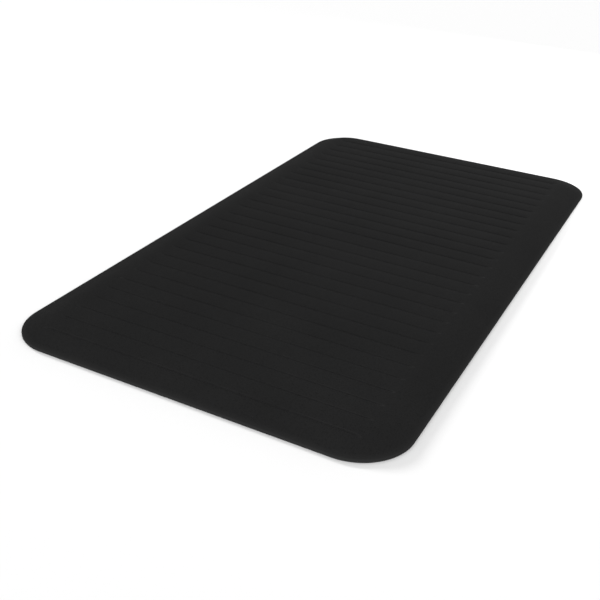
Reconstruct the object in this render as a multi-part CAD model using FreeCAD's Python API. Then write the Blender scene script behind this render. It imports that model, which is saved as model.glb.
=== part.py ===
import FreeCAD, Part

import math
import os

from FreeCAD import Vector

# A cushioned floor mat for standing, balance and stretching work. It is a laminate of four layers: a ribbed
# moulded cover, a soft foam, a firm foam and a grip base. All four follow one border, which ramps down from
# the flat middle to a thin lip. Millimetres, +Z up, long side along Y. The origin is on the floor, under the
# middle of the mat.

# Overall size
MAT_WIDTH = 508.0  # along X
MAT_LENGTH = 914.0  # along Y
MAT_HEIGHT = 15.0  # floor to the flat top of the ribs

# Border: a straight ramp from the lip, rolled over into the flat top by a large crest arc
LIP_HEIGHT = 3.0  # thickness left at the outer edge
RAMP_RUN = 34.0  # outer edge to where the ramp's line would meet the flat top
CREST_RADIUS = 82.0
FIELD_CORNER_RADIUS = 17.0  # plan radius where the crest meets the flat top

# Layers
COVER_THICKNESS = 3.2
CUSHION_THICKNESS = 5.0  # the soft foam, under the cover
BASE_THICKNESS = 1.6

# Grooves across the cover. They leave flat ribs, and the rib in the middle of the mat is a little wider.
GROOVES_PER_HALF = 15
GROOVE_PITCH = 29.2
CENTRE_RIB_PITCH = 33.6  # between the two grooves that border the middle rib
GROOVE_WIDTH = 4.4
GROOVE_DEPTH = 1.0
GROOVE_END_MARGIN = 43.0  # side edge of the mat to where a groove runs out
GROOVE_RUN_OUT = 14.0  # length over which a groove rises to the surface at each end
CUTTER_OVERTOP = 0.5  # how far the groove's V is carried above the surface, to cut cleanly

# Grip base: square pads between crossing channels, inside a plain rim
PAD_PITCH = 60.0
CHANNEL_WIDTH = 4.0
CHANNEL_DEPTH = 0.8
BASE_RIM_WIDTH = 14.0

# Border geometry that follows from the sizes above. A place on the border is given by its distance in from
# the outer edge.
ramp_angle = math.atan2(MAT_HEIGHT - LIP_HEIGHT, RAMP_RUN)
ramp_slope = math.tan(ramp_angle)
crest_tangent = CREST_RADIUS * math.tan(ramp_angle / 2)
crest_start = RAMP_RUN - crest_tangent * math.cos(ramp_angle)
border_width = RAMP_RUN + crest_tangent
corner_radius = border_width + FIELD_CORNER_RADIUS
support_top = MAT_HEIGHT - COVER_THICKNESS - CUSHION_THICKNESS


def top_height(inset):
    """Height of the cover's outer surface, ribs ignored, at a distance in from the edge."""
    if inset <= crest_start:
        return LIP_HEIGHT + ramp_slope * inset
    if inset >= border_width:
        return MAT_HEIGHT
    rise = math.sqrt(CREST_RADIUS**2 - (border_width - inset) ** 2)
    return MAT_HEIGHT - CREST_RADIUS + rise


def top_tilt(inset):
    """Tilt of the same surface from level, in degrees."""
    if inset <= crest_start:
        return math.degrees(ramp_angle)
    if inset >= border_width:
        return 0.0
    return math.degrees(math.asin((border_width - inset) / CREST_RADIUS))


def inset_at(height):
    """Distance in from the edge at which the outer surface reaches a height."""
    if height <= top_height(crest_start):
        return (height - LIP_HEIGHT) / ramp_slope
    drop = MAT_HEIGHT - height
    return border_width - math.sqrt(CREST_RADIUS**2 - (CREST_RADIUS - drop) ** 2)


def section_point(inset, height):
    """A corner-section point: X is the distance from the centre of the corner's curve."""
    return Vector(corner_radius - inset, 0, height)


def border_curve(start, end, drop):
    """Edges of the outer surface, moved down by drop, between two distances in from the edge."""
    edges = []
    if start < crest_start:
        stop = min(end, crest_start)
        line = Part.LineSegment(
            section_point(start, top_height(start) - drop),
            section_point(stop, top_height(stop) - drop),
        )
        edges.append(line.toShape())
    if end > crest_start:
        begin = max(start, crest_start)
        middle = (begin + end) / 2
        arc = Part.Arc(
            section_point(begin, top_height(begin) - drop),
            section_point(middle, top_height(middle) - drop),
            section_point(end, top_height(end) - drop),
        )
        edges.append(arc.toShape())
    return edges


def polyline(points):
    """Straight edges through points."""
    return [Part.LineSegment(a, b).toShape() for a, b in zip(points, points[1:])]


def section_face(edges):
    """A face bounded by edges, given in any order."""
    return Part.Face(Part.Wire(Part.__sortEdges__(edges)))


def rounded_plate(width, length, radius, bottom, top):
    """A flat plate with round corners, centred on the origin in plan."""
    half_x = width / 2
    half_y = length / 2
    bend = radius * (1 - math.sqrt(0.5))
    edges = []
    for turn in range(4):
        across, along = (half_x, half_y) if turn % 2 == 0 else (half_y, half_x)
        side = Part.LineSegment(
            Vector(across, radius - along, bottom),
            Vector(across, along - radius, bottom),
        ).toShape()
        arc = Part.Arc(
            Vector(across, along - radius, bottom),
            Vector(across - bend, along - bend, bottom),
            Vector(across - radius, along, bottom),
        ).toShape()
        for edge in (side, arc):
            edge.rotate(Vector(0, 0, 0), Vector(0, 0, 1), 90 * turn)
            edges.append(edge)
    return section_face(edges).extrude(Vector(0, 0, top - bottom))


def run_round(section, bottom, top):
    """A layer of the mat: the section run round the four sides and corners, with the flat middle filled in."""
    centre_x = MAT_WIDTH / 2 - corner_radius
    centre_y = MAT_LENGTH / 2 - corner_radius
    pieces = []
    for turn in range(4):
        across, along = (centre_x, centre_y) if turn % 2 == 0 else (centre_y, centre_x)
        side = section.translated(Vector(across, -along, 0)).extrude(Vector(0, 2 * along, 0))
        corner = section.translated(Vector(across, along, 0))
        corner = corner.revolve(Vector(across, along, 0), Vector(0, 0, 1), 90)
        for piece in (side, corner):
            piece.rotate(Vector(0, 0, 0), Vector(0, 0, 1), 90 * turn)
            pieces.append(piece)
    middle_width = MAT_WIDTH - 2 * border_width
    middle_length = MAT_LENGTH - 2 * border_width
    middle = rounded_plate(middle_width, middle_length, FIELD_CORNER_RADIUS, bottom, top)
    return middle.multiFuse(pieces).removeSplitter().Solids[0]


def groove_positions():
    """Y of every groove, from the middle rib outwards."""
    first = CENTRE_RIB_PITCH / 2
    steps = [first + GROOVE_PITCH * i for i in range(GROOVES_PER_HALF)]
    return [-y for y in reversed(steps)] + steps


def groove_cutter(y):
    """A V that runs across the mat and rises to the surface at both ends, square to the surface it cuts."""
    inset = MAT_LENGTH / 2 - abs(y)
    grow = CUTTER_OVERTOP / GROOVE_DEPTH
    half_run = MAT_WIDTH / 2 - GROOVE_END_MARGIN
    floor_end = half_run - GROOVE_RUN_OUT
    tip = half_run + GROOVE_RUN_OUT * grow
    half_width = GROOVE_WIDTH / 2 * (1 + grow)
    floor = [Vector(side * floor_end, 0, -GROOVE_DEPTH) for side in (-1, 1)]
    rim = [
        Vector(-tip, 0, CUTTER_OVERTOP),
        Vector(-floor_end, -half_width, CUTTER_OVERTOP),
        Vector(floor_end, -half_width, CUTTER_OVERTOP),
        Vector(tip, 0, CUTTER_OVERTOP),
        Vector(floor_end, half_width, CUTTER_OVERTOP),
        Vector(-floor_end, half_width, CUTTER_OVERTOP),
    ]
    outlines = [
        rim,
        [rim[0], rim[1], floor[0]],
        [rim[1], rim[2], floor[1], floor[0]],
        [rim[2], rim[3], floor[1]],
        [rim[3], rim[4], floor[1]],
        [rim[4], rim[5], floor[0], floor[1]],
        [rim[5], rim[0], floor[0]],
    ]
    faces = [Part.Face(Part.makePolygon(points + points[:1])) for points in outlines]
    cutter = Part.Solid(Part.Shell(faces))
    if cutter.Volume < 0:
        cutter.reverse()
    tilt = -math.copysign(top_tilt(inset), y)
    cutter.rotate(Vector(0, 0, 0), Vector(1, 0, 0), tilt)
    cutter.translate(Vector(0, y, top_height(inset)))
    return cutter


def tread_cover():
    """Moulded rubber skin. Its rim lies on the base all round, outside the foam."""
    rim_end = inset_at(BASE_THICKNESS + COVER_THICKNESS)
    edges = border_curve(0.0, border_width, 0.0)
    edges += border_curve(rim_end, border_width, COVER_THICKNESS)
    edges += polyline(
        [
            section_point(border_width, MAT_HEIGHT),
            section_point(border_width, MAT_HEIGHT - COVER_THICKNESS),
        ]
    )
    edges += polyline(
        [
            section_point(rim_end, BASE_THICKNESS),
            section_point(0.0, BASE_THICKNESS),
            section_point(0.0, LIP_HEIGHT),
        ]
    )
    skin = run_round(section_face(edges), MAT_HEIGHT - COVER_THICKNESS, MAT_HEIGHT)
    cutters = [groove_cutter(y) for y in groove_positions()]
    return skin.cut(Part.makeCompound(cutters)).Solids[0]


def cushion_foam():
    """Soft foam layer, skived to a feather edge under the ramp."""
    edge = inset_at(support_top + COVER_THICKNESS)
    edges = border_curve(edge, border_width, COVER_THICKNESS)
    edges += polyline(
        [
            section_point(border_width, MAT_HEIGHT - COVER_THICKNESS),
            section_point(border_width, support_top),
            section_point(edge, support_top),
        ]
    )
    return run_round(section_face(edges), support_top, MAT_HEIGHT - COVER_THICKNESS)


def support_foam():
    """Firm foam layer on the base, with its edge cut to the slope of the ramp."""
    foot = inset_at(BASE_THICKNESS + COVER_THICKNESS)
    edge = inset_at(support_top + COVER_THICKNESS)
    edges = border_curve(foot, edge, COVER_THICKNESS)
    edges += polyline(
        [
            section_point(edge, support_top),
            section_point(border_width, support_top),
            section_point(border_width, BASE_THICKNESS),
            section_point(foot, BASE_THICKNESS),
        ]
    )
    return run_round(section_face(edges), BASE_THICKNESS, support_top)


def grip_base():
    """Thin rubber sheet. Shallow channels on its underside leave square pads that grip the floor."""
    sheet = rounded_plate(MAT_WIDTH, MAT_LENGTH, corner_radius, 0.0, BASE_THICKNESS)
    field_width = MAT_WIDTH - 2 * BASE_RIM_WIDTH
    field_length = MAT_LENGTH - 2 * BASE_RIM_WIDTH
    field = rounded_plate(
        field_width,
        field_length,
        corner_radius - BASE_RIM_WIDTH,
        -CHANNEL_DEPTH,
        CHANNEL_DEPTH,
    )
    channels = []
    for across, along, turn in ((MAT_WIDTH, MAT_LENGTH, 0), (MAT_LENGTH, MAT_WIDTH, 90)):
        rows = int((across / 2 - PAD_PITCH / 2) / PAD_PITCH) + 1
        for row in range(-rows, rows):
            place = PAD_PITCH * (row + 0.5)
            box = Part.makeBox(CHANNEL_WIDTH, along, 2 * CHANNEL_DEPTH)
            box.translate(Vector(place - CHANNEL_WIDTH / 2, -along / 2, -CHANNEL_DEPTH))
            box.rotate(Vector(0, 0, 0), Vector(0, 0, 1), turn)
            channels.append(box)
    grid = channels[0].multiFuse(channels[1:])
    return sheet.cut(grid.common(field)).Solids[0]


parts = {
    "tread_cover": tread_cover(),
    "cushion_foam": cushion_foam(),
    "support_foam": support_foam(),
    "grip_base": grip_base(),
}

os.makedirs("parts", exist_ok=True)
for name, shape in parts.items():
    box = shape.BoundBox
    print(
        f"{name}: valid {shape.isValid()}, {len(shape.Faces)} faces, {shape.Volume / 1000:.1f} cm3, "
        f"{box.XLength:.1f} x {box.YLength:.1f} x {box.ZLength:.1f} mm"
    )
    shape.exportStep(f"parts/{name}.step")
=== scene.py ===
import math

import bpy
from mathutils import Matrix, Vector


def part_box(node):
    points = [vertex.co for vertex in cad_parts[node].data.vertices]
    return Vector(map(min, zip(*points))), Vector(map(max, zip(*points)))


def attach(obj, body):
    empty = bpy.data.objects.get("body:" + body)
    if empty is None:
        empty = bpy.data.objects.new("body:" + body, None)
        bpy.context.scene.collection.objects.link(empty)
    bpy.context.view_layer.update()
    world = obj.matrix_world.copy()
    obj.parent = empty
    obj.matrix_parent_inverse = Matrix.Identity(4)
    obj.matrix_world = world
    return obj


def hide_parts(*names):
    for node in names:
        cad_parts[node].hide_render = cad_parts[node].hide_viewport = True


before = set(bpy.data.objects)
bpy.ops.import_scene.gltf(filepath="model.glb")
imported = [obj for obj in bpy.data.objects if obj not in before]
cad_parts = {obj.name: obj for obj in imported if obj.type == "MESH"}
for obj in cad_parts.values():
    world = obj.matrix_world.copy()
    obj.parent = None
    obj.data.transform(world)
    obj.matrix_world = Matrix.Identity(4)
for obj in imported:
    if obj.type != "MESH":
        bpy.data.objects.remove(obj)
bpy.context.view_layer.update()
bpy.ops.object.select_all(action="DESELECT")


# ---------------------------------------------------------------------------------------------------------
# Tread cover
# The skin that is stood on: one moulding of filled black rubber, about 3 mm thick, matte from the fine grain
# of its mould. It lies over the foam, rolls over a soft crest into a ramp, and is bonded to the base at its
# rim. Grooves pressed across it leave flat ribs, and they run out before the side crests.

low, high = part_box("tread_cover")
base_top = low.z
mat_height = high.z
mat_width = high.x - low.x
mat_length = high.y - low.y

lip_height = 0.003
lip_round = 0.0008
ramp_run = 0.034
crest_radius = 0.082
field_corner_radius = 0.017
cover_thickness = 0.0032

ramp_angle = math.atan2(mat_height - lip_height, ramp_run)
ramp_slope = math.tan(ramp_angle)
crest_tangent = crest_radius * math.tan(ramp_angle / 2)
crest_start = ramp_run - crest_tangent * math.cos(ramp_angle)
border_width = ramp_run + crest_tangent
corner_radius = border_width + field_corner_radius
corner_steps = 28
crest_steps = 12
same_place = 1e-5


def top_height(inset):
    """Height of the cover's top, grooves ignored, at a distance in from the mat's edge."""
    if inset <= crest_start:
        return lip_height + ramp_slope * inset
    rise = math.sqrt(crest_radius**2 - (border_width - min(inset, border_width)) ** 2)
    return mat_height - crest_radius + rise


def inset_of(point):
    """Distance of a point in from the mat's edge, in plan."""
    past_x = abs(point.x) - (mat_width / 2 - corner_radius)
    past_y = abs(point.y) - (mat_length / 2 - corner_radius)
    if past_x > 0 and past_y > 0:
        return corner_radius - math.hypot(past_x, past_y)
    return corner_radius - max(past_x, past_y)


def start_outline(name, inset, height):
    """A new piece in edit mode: one flat face with the mat's outline, that far in and up, selected."""
    bpy.ops.object.select_all(action="DESELECT")
    bpy.ops.mesh.primitive_plane_add(size=1, location=(0, 0, 0))
    piece = bpy.context.object
    piece.name = name
    piece.data.name = name
    bpy.ops.object.mode_set(mode="EDIT")
    bpy.ops.mesh.select_all(action="SELECT")
    bpy.ops.transform.resize(value=(mat_width - 2 * inset, mat_length - 2 * inset, 1))
    bpy.ops.mesh.bevel(offset=corner_radius - inset, segments=corner_steps, affect="VERTICES")
    bpy.ops.mesh.select_all(action="SELECT")
    bpy.ops.transform.translate(value=(0, 0, height))
    return piece


def step_inwards(insets):
    """From a selected flat face, ring by ring in over the border, along the cover's top or below it."""
    for start, stop in zip(insets, insets[1:]):
        bpy.ops.mesh.inset(thickness=stop - start, use_even_offset=True)
        bpy.ops.transform.translate(value=(0, 0, top_height(stop) - top_height(start)))


def select_where(piece, kind, test):
    """In edit mode, select only the edges or faces that pass a test: an edge by both its ends."""
    bpy.ops.mesh.select_mode(type="EDGE" if kind == "edges" else "FACE")
    bpy.ops.mesh.select_all(action="DESELECT")
    bpy.ops.object.mode_set(mode="OBJECT")
    places = [v.co for v in piece.data.vertices]
    for item in getattr(piece.data, kind):
        if kind == "edges":
            item.select = all(test(places[i]) for i in item.vertices)
        else:
            item.select = test(item.center)
    bpy.ops.object.mode_set(mode="EDIT")


def cut_across(places, axis):
    """Cut all the visible faces by planes square to an axis, one for each place along it."""
    for place in places:
        bpy.ops.mesh.select_all(action="SELECT")
        bpy.ops.mesh.bisect(plane_co=axis * place, plane_no=axis, threshold=1e-7)


def finish_mesh(piece, angle):
    """Leave edit mode with faces outwards, shaded smooth except over edges sharper than an angle."""
    bpy.ops.mesh.select_all(action="SELECT")
    bpy.ops.mesh.normals_make_consistent(inside=False)
    bpy.ops.mesh.select_all(action="DESELECT")
    bpy.ops.object.mode_set(mode="OBJECT")
    bpy.ops.object.select_all(action="DESELECT")
    bpy.context.view_layer.objects.active = piece
    piece.select_set(True)
    bpy.ops.object.shade_smooth_by_angle(angle=math.radians(angle))
    piece.select_set(False)


across = Vector((1, 0, 0))
along = Vector((0, 1, 0))
crest_insets = [
    border_width - crest_radius * math.sin(ramp_angle * (1 - step / crest_steps))
    for step in range(crest_steps + 1)
]

# The top, from the lip inwards. The grooves lie inside the last of the ramp's rings.
grooved_from = crest_start * 0.7
cover = start_outline("tread_cover_skin", 0, lip_height)
step_inwards([0, 2 * lip_round, grooved_from / 2, grooved_from] + crest_insets)

# Grooves: a soft V with rounded shoulders, which rises to the surface over its last stretch.
grooves_per_half = 15
groove_pitch = 0.0292
centre_rib_pitch = 0.0336
groove_depth = 0.001
groove_half_width = 0.0022
groove_end_margin = 0.043
groove_run_out = 0.014
groove_cuts = 6
run_out_cuts = 5

groove_lines = [centre_rib_pitch / 2 + groove_pitch * i for i in range(grooves_per_half)]
groove_lines = [-y for y in reversed(groove_lines)] + groove_lines
groove_end = mat_width / 2 - groove_end_margin


def ease(share):
    """0 to 1, level at both ends."""
    share = min(max(share, 0), 1)
    return share * share * (3 - 2 * share)


def groove_share(point):
    """How deep the top is pressed at a point, as a share of a groove's full depth."""
    away = min(abs(point.y - line) for line in groove_lines)
    return ease(1 - away / groove_half_width) * ease((groove_end - abs(point.x)) / groove_run_out)


steps_in = [groove_end - groove_run_out * step / run_out_cuts for step in range(run_out_cuts + 1)]
select_where(cover, "polygons", lambda p: inset_of(p) > grooved_from)
bpy.ops.mesh.hide(unselected=True)
cut_across([side * x for x in steps_in for side in (-1, 1)], across)
select_where(cover, "polygons", lambda p: inset_of(p) > grooved_from and abs(p.x) < groove_end)
bpy.ops.mesh.hide(unselected=True)
steps_over = [groove_half_width * step / groove_cuts for step in range(-groove_cuts, groove_cuts + 1)]
cut_across([line + y for line in groove_lines for y in steps_over], along)
bpy.ops.mesh.reveal(select=False)

bpy.ops.object.mode_set(mode="OBJECT")
pressed = cover.vertex_groups.new(name="pressed_by_grooves")
for vertex in cover.data.vertices:
    if inset_of(vertex.co) > grooved_from:
        pressed.add([vertex.index], groove_share(vertex.co), "REPLACE")
press = cover.modifiers.new("press_grooves", "DISPLACE")
press.direction = "Z"
press.mid_level = 0
press.strength = -groove_depth
press.vertex_group = pressed.name
bpy.ops.object.modifier_apply(modifier=press.name)
cover.vertex_groups.clear()

# The lip's wall, down to the base.
bpy.ops.object.mode_set(mode="EDIT")
select_where(cover, "edges", lambda p: abs(p.z - lip_height) < same_place)
bpy.ops.mesh.extrude_region_move(TRANSFORM_OT_translate={"value": (0, 0, base_top - lip_height)})
bpy.ops.object.mode_set(mode="OBJECT")

# The underside: flat from the wall in to the foam's edge, then the top's shape a skin's thickness lower.
rim_inset = (base_top + cover_thickness - lip_height) / ramp_slope
bpy.ops.object.mode_set(mode="EDIT")
select_where(cover, "edges", lambda p: abs(p.z - base_top) < same_place)
bpy.ops.mesh.edge_face_add()
bpy.ops.mesh.select_mode(type="FACE")
bpy.ops.mesh.inset(thickness=rim_inset, use_even_offset=True)
step_inwards([rim_inset] + crest_insets)

# The lip's upper edge is rounded over.
select_where(cover, "edges", lambda p: abs(p.z - lip_height) < same_place)
bpy.ops.mesh.bevel(offset=lip_round, segments=4, affect="EDGES")
finish_mesh(cover, angle=35)
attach(cover, "root")
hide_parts("tread_cover")

# Masks for the painted highlights on the ribs' shoulders and the lip, and for the shoulders' worn polish:
# the grooves' share of depth, which gives the shoulders, and a band along the lip.
# Within this width of the edge the lip is painted paler: a painted highlight of the floor's light on its
# rounding.
painted_lip_highlight_width = 0.003
groove_map = cover.data.attributes.new("groove_share", "FLOAT", "POINT")
lip_highlight_map = cover.data.attributes.new("painted_lip_highlight", "FLOAT", "POINT")
for vertex, groove, lip_highlight_share in zip(cover.data.vertices, groove_map.data, lip_highlight_map.data):
    inset = inset_of(vertex.co)
    on_top = vertex.co.z > top_height(max(inset, 0)) - cover_thickness / 2
    groove.value = groove_share(vertex.co) if on_top and inset > grooved_from else 0
    lip_highlight_share.value = ease(1 - inset / painted_lip_highlight_width)


def add_node(nodes, kind, label, **settings):
    """A shader node of a kind, with its label and its settings."""
    node = nodes.new("ShaderNode" + kind)
    node.label = label
    for setting, value in settings.items():
        setattr(node, setting, value)
    return node


def blend_range(nodes, label, low_in, high_in, low_out, high_out):
    """A node that eases one range of values into another."""
    node = add_node(nodes, "MapRange", label, interpolation_type="SMOOTHSTEP")
    node.inputs["From Min"].default_value = low_in
    node.inputs["From Max"].default_value = high_in
    node.inputs["To Min"].default_value = low_out
    node.inputs["To Max"].default_value = high_out
    return node


def moulded_grain_group():
    """Rubber out of a textured mould: fine pebbles, broad clouds of tone and a few pale specks of filler."""
    group = bpy.data.node_groups.new("moulded_grain", "ShaderNodeTree")
    group.interface.new_socket("Pebbles per metre", in_out="INPUT", socket_type="NodeSocketFloat")
    group.interface.new_socket("Clouds per metre", in_out="INPUT", socket_type="NodeSocketFloat")
    group.interface.new_socket("Height", in_out="OUTPUT", socket_type="NodeSocketFloat")
    group.interface.new_socket("Clouds", in_out="OUTPUT", socket_type="NodeSocketFloat")
    group.interface.new_socket("Specks", in_out="OUTPUT", socket_type="NodeSocketFloat")
    specks_per_metre = 260
    nodes, link = group.nodes, group.links.new
    given = nodes.new("NodeGroupInput")
    result = nodes.new("NodeGroupOutput")
    place = add_node(nodes, "TexCoord", "place")

    pebbles = add_node(nodes, "TexVoronoi", "pebbles", feature="SMOOTH_F1")
    pebbles.inputs["Smoothness"].default_value = 0.6
    link(place.outputs["Object"], pebbles.inputs["Vector"])
    link(given.outputs["Pebbles per metre"], pebbles.inputs["Scale"])
    fine = add_node(nodes, "TexNoise", "fine_tooth")
    fine.inputs["Detail"].default_value = 4
    link(place.outputs["Object"], fine.inputs["Vector"])
    link(given.outputs["Pebbles per metre"], fine.inputs["Scale"])
    height = add_node(nodes, "Math", "pebbles_and_tooth", operation="ADD")
    link(pebbles.outputs["Distance"], height.inputs[0])
    link(fine.outputs["Fac"], height.inputs[1])
    link(height.outputs["Value"], result.inputs["Height"])

    clouds = add_node(nodes, "TexNoise", "clouds")
    clouds.inputs["Detail"].default_value = 6
    clouds.inputs["Roughness"].default_value = 0.62
    link(place.outputs["Object"], clouds.inputs["Vector"])
    link(given.outputs["Clouds per metre"], clouds.inputs["Scale"])
    even_out = blend_range(nodes, "spread_clouds", 0.32, 0.68, 0, 1)
    link(clouds.outputs["Fac"], even_out.inputs["Value"])
    link(even_out.outputs["Result"], result.inputs["Clouds"])

    specks = add_node(nodes, "TexVoronoi", "specks", feature="F1")
    specks.inputs["Scale"].default_value = specks_per_metre
    link(place.outputs["Object"], specks.inputs["Vector"])
    small = blend_range(nodes, "speck_size", 0.06, 0.16, 1, 0)
    link(specks.outputs["Distance"], small.inputs["Value"])
    few = blend_range(nodes, "few_of_them", 0.88, 0.92, 0, 1)
    link(specks.outputs["Color"], few.inputs["Value"])
    both = add_node(nodes, "Math", "specks_kept", operation="MULTIPLY")
    link(small.outputs["Result"], both.inputs[0])
    link(few.outputs["Result"], both.inputs[1])
    link(both.outputs["Value"], result.inputs["Specks"])
    return group


def mixed_colour(nodes, link, label, share, start, end):
    """A colour mixed by a share from start, which is a socket or a plain colour, to end, a plain colour."""
    mix = add_node(nodes, "Mix", label, data_type="RGBA")
    factor, first, second, mixed = mix.inputs[0], mix.inputs[6], mix.inputs[7], mix.outputs[2]
    link(share, factor)
    if isinstance(start, tuple):
        first.default_value = (*start, 1)
    else:
        link(start, first)
    second.default_value = (*end, 1)
    return mixed


grain = moulded_grain_group()
cover_rubber = bpy.data.materials.new("cover_rubber")
cover_rubber.use_nodes = True
nodes, link = cover_rubber.node_tree.nodes, cover_rubber.node_tree.links.new
shader = nodes["Principled BSDF"]
shader.inputs["Specular IOR Level"].default_value = 0.03

surface = add_node(nodes, "Group", "moulded_grain", node_tree=grain)
surface.inputs["Pebbles per metre"].default_value = 620
surface.inputs["Clouds per metre"].default_value = 7
groove = add_node(nodes, "Attribute", "groove_share", attribute_name="groove_share")
lip_highlight_share = add_node(nodes, "Attribute", "painted_lip_highlight", attribute_name="painted_lip_highlight")

# Feet polish the ribs' shoulders in patches, and the shoulders are painted paler there as a painted
# highlight; the lip is painted paler as a painted highlight.
shoulder_up = blend_range(nodes, "onto_shoulder", 0.01, 0.12, 0, 1)
link(groove.outputs["Fac"], shoulder_up.inputs["Value"])
shoulder_down = blend_range(nodes, "into_groove", 0.12, 0.45, 1, 0)
link(groove.outputs["Fac"], shoulder_down.inputs["Value"])
shoulder = add_node(nodes, "Math", "shoulder_band", operation="MULTIPLY")
link(shoulder_up.outputs["Result"], shoulder.inputs[0])
link(shoulder_down.outputs["Result"], shoulder.inputs[1])
shoulder_highlight_and_polish = add_node(nodes, "Math", "shoulder_highlight_and_polish_patches", operation="MULTIPLY")
link(shoulder.outputs["Value"], shoulder_highlight_and_polish.inputs[0])
link(surface.outputs["Clouds"], shoulder_highlight_and_polish.inputs[1])

fresh_black = (0.0151, 0.0151, 0.0152)
faded_black = (0.0169, 0.0169, 0.0170)
hollow_shade_black = (0.0105, 0.0105, 0.0106)
filler_grey = (0.024, 0.024, 0.024)
# The paler grey for the ribs' shoulders is a painted highlight.
shoulder_highlight_grey = (0.021, 0.021, 0.021)
lip_highlight_grey = (0.025, 0.025, 0.025)
colour = mixed_colour(nodes, link, "clouds_of_tone", surface.outputs["Clouds"], fresh_black, faded_black)
# The grain's hollows are painted darker: painted shade in the recesses.
painted_hollow_shade = blend_range(nodes, "grain_hollow_shade", 0.55, 0.95, 1, 0)
link(surface.outputs["Height"], painted_hollow_shade.inputs["Value"])
colour = mixed_colour(nodes, link, "painted_shade_in_hollows", painted_hollow_shade.outputs["Result"], colour, hollow_shade_black)
colour = mixed_colour(nodes, link, "specks_of_filler", surface.outputs["Specks"], colour, filler_grey)
# Painted highlight: the ribs' shoulders painted paler in patches.
colour = mixed_colour(nodes, link, "painted_shoulder_highlight", shoulder_highlight_and_polish.outputs["Value"], colour, shoulder_highlight_grey)
# Painted highlight: the lip painted paler than the rest of the cover.
colour = mixed_colour(nodes, link, "lip_painted_highlight", lip_highlight_share.outputs["Fac"], colour, lip_highlight_grey)
link(colour, shader.inputs["Base Color"])

matte = blend_range(nodes, "polished_where_rubbed", 0, 1, 0.88, 0.66)
link(shoulder_highlight_and_polish.outputs["Value"], matte.inputs["Value"])
link(matte.outputs["Result"], shader.inputs["Roughness"])

bump = add_node(nodes, "Bump", "grain_relief")
bump.inputs["Strength"].default_value = 0.6
bump.inputs["Distance"].default_value = 0.0004
link(surface.outputs["Height"], bump.inputs["Height"])
link(bump.outputs["Normal"], shader.inputs["Normal"])
cover.data.materials.append(cover_rubber)


# ---------------------------------------------------------------------------------------------------------
# Grip base
# The mat's underside: a thin sheet of softer black rubber, pressed with crossing channels that leave square
# pads. The pads grip the floor and the channels let damp out. It is bonded to both the foam and the lip.

pad_pitch = 0.060
channel_width = 0.004
channel_depth = 0.0008
base_rim_width = 0.014
pad_round = 0.0001

base = start_outline("grip_base_sheet", 0, 0)
bpy.ops.mesh.inset(thickness=base_rim_width, use_even_offset=True)
bpy.ops.mesh.hide(unselected=True)
rows = int(mat_length / 2 / pad_pitch) + 1
channel_edges = [
    pad_pitch * (row + 0.5) + side * channel_width / 2 for row in range(-rows, rows) for side in (-1, 1)
]
cut_across(channel_edges, across)
cut_across(channel_edges, along)
bpy.ops.mesh.reveal(select=False)


def in_channel(place):
    """Whether a place along X or Y lies in a channel."""
    return abs(place / pad_pitch % 1 - 0.5) * pad_pitch < channel_width / 2


select_where(
    base, "polygons", lambda p: inset_of(p) > base_rim_width and (in_channel(p.x) or in_channel(p.y))
)
bpy.ops.mesh.extrude_region_move(TRANSFORM_OT_translate={"value": (0, 0, channel_depth)})
select_where(base, "edges", lambda p: abs(inset_of(p)) < same_place)
bpy.ops.mesh.extrude_region_move(TRANSFORM_OT_translate={"value": (0, 0, base_top)})
bpy.ops.mesh.edge_face_add()
finish_mesh(base, angle=30)
bpy.context.view_layer.objects.active = base
rounding = base.modifiers.new("round_pads", "BEVEL")
rounding.width = pad_round
rounding.segments = 2
rounding.limit_method = "ANGLE"
rounding.angle_limit = math.radians(40)
bpy.ops.object.modifier_apply(modifier=rounding.name)
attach(base, "root")
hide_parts("grip_base")

base_rubber = bpy.data.materials.new("base_rubber")
base_rubber.use_nodes = True
nodes, link = base_rubber.node_tree.nodes, base_rubber.node_tree.links.new
shader = nodes["Principled BSDF"]
shader.inputs["Specular IOR Level"].default_value = 0.15

surface = add_node(nodes, "Group", "moulded_grain", node_tree=grain)
surface.inputs["Pebbles per metre"].default_value = 900
surface.inputs["Clouds per metre"].default_value = 14
place = add_node(nodes, "TexCoord", "place")

# A fine crosshatch pressed into the sheet, 2.5 mm from line to line, helps it hold a smooth floor.
hatch_turn = math.radians(45)
hatch_lines_per_metre = 400
hatch = []
for label, turn in (("hatch_one_way", hatch_turn), ("hatch_other_way", -hatch_turn)):
    turned = add_node(nodes, "Mapping", label)
    turned.inputs["Rotation"].default_value = (0, 0, turn)
    link(place.outputs["Object"], turned.inputs["Vector"])
    lines = add_node(nodes, "TexWave", label + "_lines", wave_type="BANDS", bands_direction="X")
    # The wave texture draws a little over three bands per unit of its scale.
    lines.inputs["Scale"].default_value = hatch_lines_per_metre * math.pi / 10 / 2
    link(turned.outputs["Vector"], lines.inputs["Vector"])
    hatch.append(lines.outputs["Fac"])
crossed = add_node(nodes, "Math", "crossed_hatch", operation="MULTIPLY")
link(hatch[0], crossed.inputs[0])
link(hatch[1], crossed.inputs[1])
relief = add_node(nodes, "Math", "hatch_and_grain", operation="MULTIPLY_ADD")
relief.inputs[1].default_value = 0.25
link(surface.outputs["Height"], relief.inputs[0])
link(crossed.outputs["Value"], relief.inputs[2])

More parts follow.
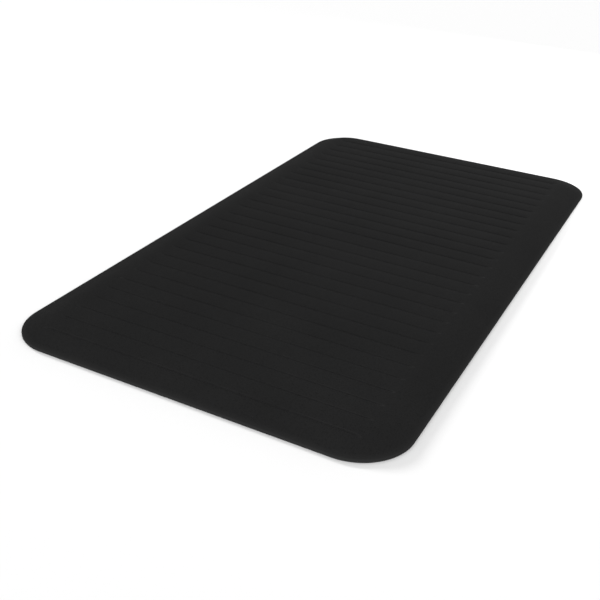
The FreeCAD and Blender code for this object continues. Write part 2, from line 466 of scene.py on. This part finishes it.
base_black = (0.018, 0.018, 0.0182)
base_faded = (0.026, 0.026, 0.0262)
base_filler = (0.045, 0.045, 0.045)
colour = mixed_colour(nodes, link, "clouds_of_tone", surface.outputs["Clouds"], base_black, base_faded)
colour = mixed_colour(nodes, link, "specks_of_filler", surface.outputs["Specks"], colour, base_filler)
link(colour, shader.inputs["Base Color"])
tacky = blend_range(nodes, "tacky_to_dry", 0, 1, 0.58, 0.72)
link(surface.outputs["Clouds"], tacky.inputs["Value"])
link(tacky.outputs["Result"], shader.inputs["Roughness"])
bump = add_node(nodes, "Bump", "hatch_relief")
bump.inputs["Strength"].default_value = 0.6
bump.inputs["Distance"].default_value = 0.0003
link(relief.outputs["Value"], bump.inputs["Height"])
link(bump.outputs["Normal"], shader.inputs["Normal"])
base.data.materials.append(base_rubber)


# ---------------------------------------------------------------------------------------------------------
# Cushion and support foams
# Two sheets of closed-cell foam glued between the skins: a soft grey one under the cover and a firmer
# charcoal one under that. Both are skived at the edge to the ramp's slope, so they end under the lip.


def foam_sheet(name, node, insets):
    """A foam layer in its node's place, with its edge along the underside of the cover."""
    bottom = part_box(node)[0].z
    sheet = start_outline(name, insets[0], bottom)
    step_inwards(insets)
    select_where(sheet, "edges", lambda p: abs(p.z - bottom) < same_place)
    bpy.ops.mesh.edge_face_add()
    finish_mesh(sheet, angle=25)
    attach(sheet, "root")
    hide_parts(node)
    return sheet


def foam_material(name, cells_per_metre, shaded_hollow_colour, light):
    """Cut closed-cell foam: round cells of two sizes, their walls paler than their hollows, whose darker
    colour is painted shade.
    """
    small_per_large = 2.3
    material = bpy.data.materials.new(name)
    material.use_nodes = True
    nodes, link = material.node_tree.nodes, material.node_tree.links.new
    shader = nodes["Principled BSDF"]
    shader.inputs["Specular IOR Level"].default_value = 0.2
    place = add_node(nodes, "TexCoord", "place")
    cells = add_node(nodes, "TexVoronoi", "large_cells", feature="F1")
    cells.inputs["Scale"].default_value = cells_per_metre
    link(place.outputs["Object"], cells.inputs["Vector"])
    small_cells = add_node(nodes, "TexVoronoi", "small_cells", feature="F1")
    small_cells.inputs["Scale"].default_value = cells_per_metre * small_per_large
    link(place.outputs["Object"], small_cells.inputs["Vector"])
    walls = add_node(nodes, "Math", "cell_walls", operation="MULTIPLY")
    link(cells.outputs["Distance"], walls.inputs[0])
    link(small_cells.outputs["Distance"], walls.inputs[1])
    spread = blend_range(nodes, "wall_share", 0.02, 0.35, 0, 1)
    link(walls.outputs["Value"], spread.inputs["Value"])
    # The cells' hollows take the darker colour: painted shade inside the cells.
    colour = mixed_colour(nodes, link, "shaded_hollow_to_wall", spread.outputs["Result"], shaded_hollow_colour, light)
    link(colour, shader.inputs["Base Color"])
    dry = blend_range(nodes, "dry_walls", 0, 1, 0.98, 0.88)
    link(spread.outputs["Result"], dry.inputs["Value"])
    link(dry.outputs["Result"], shader.inputs["Roughness"])
    bump = add_node(nodes, "Bump", "cell_relief")
    bump.inputs["Strength"].default_value = 0.7
    bump.inputs["Distance"].default_value = 0.0004
    link(spread.outputs["Result"], bump.inputs["Height"])
    link(bump.outputs["Normal"], shader.inputs["Normal"])
    return material


support_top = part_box("support_foam")[1].z
foam_step = (support_top + cover_thickness - lip_height) / ramp_slope
soft_shaded_hollow = (0.10, 0.10, 0.105)
soft_pale = (0.22, 0.22, 0.225)
cushion = foam_sheet("cushion_foam_sheet", "cushion_foam", [foam_step] + crest_insets)
cushion.data.materials.append(foam_material("soft_foam", 900, soft_shaded_hollow, soft_pale))
firm_shaded_hollow = (0.035, 0.035, 0.037)
firm_pale = (0.085, 0.085, 0.088)
support = foam_sheet("support_foam_sheet", "support_foam", [rim_inset, foam_step])
support.data.materials.append(foam_material("firm_foam", 1400, firm_shaded_hollow, firm_pale))


# ---------------------------------------------------------------------------------------------------------
# Floor, lights and camera
# A plain white floor under an even white surround. A soft light behind the mat and one in front of it lift
# its tone, and a low light from the left and a little behind draws the shadow. The front light falls on the
# mat only, and the low light and the fill at the far right on the floor only.

floor_size = 24
bpy.ops.mesh.primitive_plane_add(size=floor_size, location=(0, 0, 0))
floor = bpy.context.object
floor.name = "floor"
floor_white = bpy.data.materials.new("floor_white")
floor_white.use_nodes = True
shader = floor_white.node_tree.nodes["Principled BSDF"]
shader.inputs["Base Color"].default_value = (0.9, 0.9, 0.9, 1)
shader.inputs["Roughness"].default_value = 0.9
shader.inputs["Specular IOR Level"].default_value = 0.1
floor.data.materials.append(floor_white)

surround = bpy.data.worlds.new("white_surround")
surround.use_nodes = True
surround.node_tree.nodes["Background"].inputs["Color"].default_value = (1, 1, 1, 1)
surround.node_tree.nodes["Background"].inputs["Strength"].default_value = 0.866
bpy.context.scene.world = surround
bpy.context.scene.view_settings.view_transform = "Standard"

floor_only = bpy.data.collections.new("floor_only")
floor_only.objects.link(floor)
mat_only = bpy.data.collections.new("mat_only")
for layer in (cover, base, cushion, support):
    mat_only.objects.link(layer)


def soft_light(name, place, target, size, power):
    """A square area light at a place, facing a target."""
    bpy.ops.object.light_add(type="AREA", location=place)
    light = bpy.context.object
    light.name = name
    light.data.shape = "SQUARE"
    light.data.size = size
    light.data.energy = power
    light.rotation_euler = (Vector(target) - Vector(place)).to_track_quat("-Z", "Y").to_euler()
    return light


soft_light("back_light", place=(0, 1.35, 0.45), target=(0, 0.3, 0), size=0.5, power=2.4)
front_fill = soft_light("front_fill", place=(0.1, -1.3, 0.35), target=(0, -0.3, 0), size=0.4, power=3.0)
front_fill.light_linking.receiver_collection = mat_only
far_fill = soft_light("far_floor_fill", place=(0.5, 0.65, 0.3), target=(0.32, 0.42, 0), size=0.3, power=1.1)
far_fill.light_linking.receiver_collection = floor_only

low_sun_height = math.radians(14.4)
low_sun_turn = math.radians(24)
bpy.ops.object.light_add(type="SUN", location=(-1, 0, 1))
low_light = bpy.context.object
low_light.name = "low_side_light"
low_light.data.energy = 2.8
low_light.data.angle = math.radians(5.5)
low_light.rotation_euler = (0, low_sun_height - math.pi / 2, -low_sun_turn)
low_light.light_linking.receiver_collection = floor_only

eye = Vector((0.4713, -1.1043, 0.5654))
aim = Vector((0.0106, -0.1842, 0))
roll = math.radians(2.62)
bpy.ops.object.camera_add(location=eye)
camera = bpy.context.object
camera.name = "camera"
level = (aim - eye).to_track_quat("-Z", "Y").to_matrix()
camera.rotation_euler = (level @ Matrix.Rotation(roll, 3, "Z")).to_euler()
camera.data.sensor_width = 36
camera.data.lens = 53.36
bpy.context.scene.camera = camera
